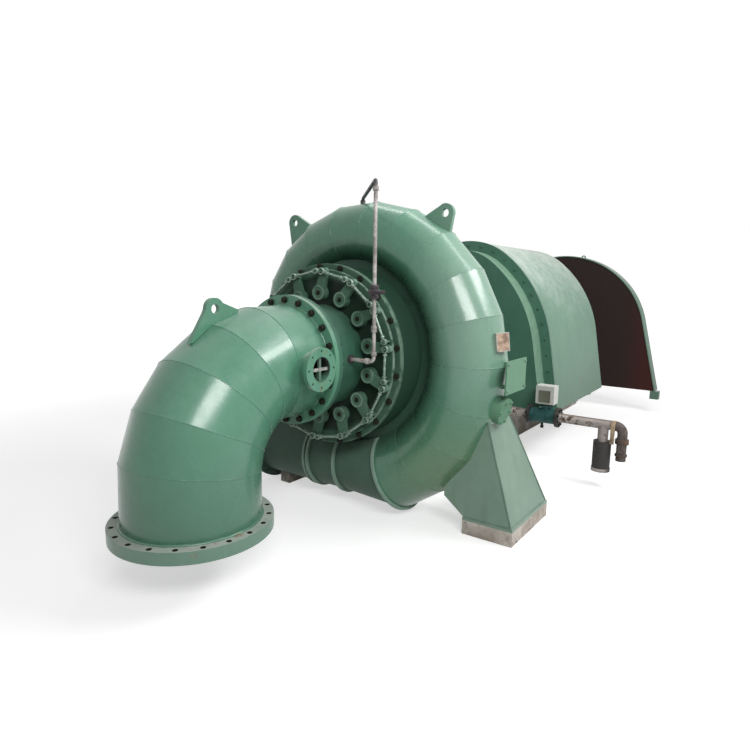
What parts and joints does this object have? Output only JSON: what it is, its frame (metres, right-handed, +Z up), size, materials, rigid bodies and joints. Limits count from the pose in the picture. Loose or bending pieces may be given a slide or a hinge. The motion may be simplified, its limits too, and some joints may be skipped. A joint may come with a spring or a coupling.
{
  "type": "horizontal spiral-case water turbine set",
  "caption": "Horizontal spiral-case water turbine with a mitred draft elbow, turning gate ring with vane levers, inlet pipe, foot, arched machine hood and end guard on a beam.",
  "frame": {"origin": "centre of the draft elbow's outlet flange, on its lower face", "axes": "+Z up; +Y along the shaft from the elbow to the hood; +X to the side of the foot, away from the inlet pipe's flange"},
  "size_m": [3.008, 6.981, 2.297],
  "materials": {
    "turbine_green": "worn gloss machine enamel, grey-green",
    "gear_green": "worn dark green enamel with grease",
    "link_steel": "bright turned steel",
    "nozzle_steel": "dull bare steel",
    "pipe_grey_green": "dusty dark grey-green paint",
    "foot_grey_green": "worn grey-green paint",
    "concrete": "rough grout and concrete",
    "vent_galvanised": "dull galvanised pipe",
    "vent_valve_dark": "dark stained paint",
    "nameplate_copper": "bare coppery plate",
    "hood_dark_green": "saturated dark green paint",
    "hood_pale_green": "dusty pale grey-green paint",
    "guard_maroon": "dark maroon primer",
    "water_pipe_rusty": "flaking white paint with rust",
    "valve_teal": "teal valve paint",
    "actuator_white": "off-white box enamel",
    "sleeve_black": "black wrapped lagging"
  },
  "bodies": {
    "turbine_set": {"outlet_flange": "turbine_green", "draft_elbow": "turbine_green", "elbow_inlet_flange": "turbine_green", "discharge_cone": "turbine_green", "inspection_nozzle": "turbine_green", "elbow_lug": "turbine_green", "distributor": "turbine_green", "spiral_case": "turbine_green", "spiral_lugs": "turbine_green", "rear_cover": "turbine_green", "side_panel": "turbine_green", "hand_hole_cover": "turbine_green", "bearing_pedestal": "turbine_green", "head_cover": "gear_green", "shaft": "link_steel", "nozzle_cross": "nozzle_steel", "inlet_pipe": "pipe_grey_green", "inlet_flange": "pipe_grey_green", "inlet_ribs": "pipe_grey_green", "foot_right": "foot_grey_green", "foot_base_plate": "foot_grey_green", "foot_pad": "concrete", "inlet_saddle": "concrete", "foundation_beam": "concrete", "vent_pipe": "vent_galvanised", "vent_valve": "vent_valve_dark", "nameplate": "nameplate_copper", "hood_front": "hood_dark_green", "hood_ring": "hood_dark_green", "hood_shell": "hood_pale_green", "hood_bearers": "hood_pale_green", "guard_rim": "hood_pale_green", "guard_panel": "guard_maroon", "water_pipe": "water_pipe_rusty", "water_valve": "valve_teal", "valve_actuator_box": "actuator_white", "pipe_sleeve": "sleeve_black"},
    "gate_ring_body": {"gate_ring": "gear_green", "gate_links": "link_steel"},
    "vane_lever_01_body": {"vane_lever_01": "gear_green"},
    "vane_lever_02_body": {"vane_lever_02": "gear_green"},
    "vane_lever_03_body": {"vane_lever_03": "gear_green"},
    "vane_lever_04_body": {"vane_lever_04": "gear_green"},
    "vane_lever_05_body": {"vane_lever_05": "gear_green"},
    "vane_lever_06_body": {"vane_lever_06": "gear_green"},
    "vane_lever_07_body": {"vane_lever_07": "gear_green"},
    "vane_lever_08_body": {"vane_lever_08": "gear_green"},
    "vane_lever_09_body": {"vane_lever_09": "gear_green"},
    "vane_lever_10_body": {"vane_lever_10": "gear_green"},
    "vane_lever_11_body": {"vane_lever_11": "gear_green"},
    "vane_lever_12_body": {"vane_lever_12": "gear_green"},
    "vane_lever_13_body": {"vane_lever_13": "gear_green"},
    "vane_lever_14_body": {"vane_lever_14": "gear_green"},
    "vent_handle_body": {"vent_valve_handle": "vent_valve_dark"}
  },
  "joints": [
    {"name": "gate_ring_turn", "type": "hinge", "parent": "turbine_set", "child": "gate_ring_body", "pos_m": [0, 1.123, 0.873], "axis": [0, -1, 0], "range_deg": [0, 8.26]},
    {"name": "vane_lever_01_turn", "type": "hinge", "parent": "turbine_set", "child": "vane_lever_01_body", "pos_m": [0, 1.088, 1.304], "axis": [0, -1, 0], "range_deg": [0, 32.4]},
    {"name": "vane_lever_02_turn", "type": "hinge", "parent": "turbine_set", "child": "vane_lever_02_body", "pos_m": [0.187, 1.088, 1.26132], "axis": [0, -1, 0], "range_deg": [0, 32.4]},
    {"name": "vane_lever_03_turn", "type": "hinge", "parent": "turbine_set", "child": "vane_lever_03_body", "pos_m": [0.33697, 1.088, 1.14172], "axis": [0, -1, 0], "range_deg": [0, 32.4]},
    {"name": "vane_lever_04_turn", "type": "hinge", "parent": "turbine_set", "child": "vane_lever_04_body", "pos_m": [0.42019, 1.088, 0.96891], "axis": [0, -1, 0], "range_deg": [0, 32.4]},
    {"name": "vane_lever_05_turn", "type": "hinge", "parent": "turbine_set", "child": "vane_lever_05_body", "pos_m": [0.42019, 1.088, 0.77709], "axis": [0, -1, 0], "range_deg": [0, 32.4]},
    {"name": "vane_lever_06_turn", "type": "hinge", "parent": "turbine_set", "child": "vane_lever_06_body", "pos_m": [0.33697, 1.088, 0.60428], "axis": [0, -1, 0], "range_deg": [0, 32.4]},
    {"name": "vane_lever_07_turn", "type": "hinge", "parent": "turbine_set", "child": "vane_lever_07_body", "pos_m": [0.187, 1.088, 0.48468], "axis": [0, -1, 0], "range_deg": [0, 32.4]},
    {"name": "vane_lever_08_turn", "type": "hinge", "parent": "turbine_set", "child": "vane_lever_08_body", "pos_m": [0, 1.088, 0.442], "axis": [0, -1, 0], "range_deg": [0, 32.4]},
    {"name": "vane_lever_09_turn", "type": "hinge", "parent": "turbine_set", "child": "vane_lever_09_body", "pos_m": [-0.187, 1.088, 0.48468], "axis": [0, -1, 0], "range_deg": [0, 32.4]},
    {"name": "vane_lever_10_turn", "type": "hinge", "parent": "turbine_set", "child": "vane_lever_10_body", "pos_m": [-0.33697, 1.088, 0.60428], "axis": [0, -1, 0], "range_deg": [0, 32.4]},
    {"name": "vane_lever_11_turn", "type": "hinge", "parent": "turbine_set", "child": "vane_lever_11_body", "pos_m": [-0.42019, 1.088, 0.77709], "axis": [0, -1, 0], "range_deg": [0, 32.4]},
    {"name": "vane_lever_12_turn", "type": "hinge", "parent": "turbine_set", "child": "vane_lever_12_body", "pos_m": [-0.42019, 1.088, 0.96891], "axis": [0, -1, 0], "range_deg": [0, 32.4]},
    {"name": "vane_lever_13_turn", "type": "hinge", "parent": "turbine_set", "child": "vane_lever_13_body", "pos_m": [-0.33697, 1.088, 1.14172], "axis": [0, -1, 0], "range_deg": [0, 32.4]},
    {"name": "vane_lever_14_turn", "type": "hinge", "parent": "turbine_set", "child": "vane_lever_14_body", "pos_m": [-0.187, 1.088, 1.26132], "axis": [0, -1, 0], "range_deg": [0, 32.4]},
    {"name": "vent_handle_turn", "type": "hinge", "parent": "turbine_set", "child": "vent_handle_body", "pos_m": [0.535, 0.9312, 1.319], "axis": [0, -1, 0], "range_deg": [0, 90]}
  ],
  "couplings": [
    {"joint": "vane_lever_01_turn", "follows": "gate_ring_turn", "ratio": 3.9225},
    {"joint": "vane_lever_02_turn", "follows": "gate_ring_turn", "ratio": 3.9225},
    {"joint": "vane_lever_03_turn", "follows": "gate_ring_turn", "ratio": 3.9225},
    {"joint": "vane_lever_04_turn", "follows": "gate_ring_turn", "ratio": 3.9225},
    {"joint": "vane_lever_05_turn", "follows": "gate_ring_turn", "ratio": 3.9225},
    {"joint": "vane_lever_06_turn", "follows": "gate_ring_turn", "ratio": 3.9225},
    {"joint": "vane_lever_07_turn", "follows": "gate_ring_turn", "ratio": 3.9225},
    {"joint": "vane_lever_08_turn", "follows": "gate_ring_turn", "ratio": 3.9225},
    {"joint": "vane_lever_09_turn", "follows": "gate_ring_turn", "ratio": 3.9225},
    {"joint": "vane_lever_10_turn", "follows": "gate_ring_turn", "ratio": 3.9225},
    {"joint": "vane_lever_11_turn", "follows": "gate_ring_turn", "ratio": 3.9225},
    {"joint": "vane_lever_12_turn", "follows": "gate_ring_turn", "ratio": 3.9225},
    {"joint": "vane_lever_13_turn", "follows": "gate_ring_turn", "ratio": 3.9225},
    {"joint": "vane_lever_14_turn", "follows": "gate_ring_turn", "ratio": 3.9225}
  ]
}
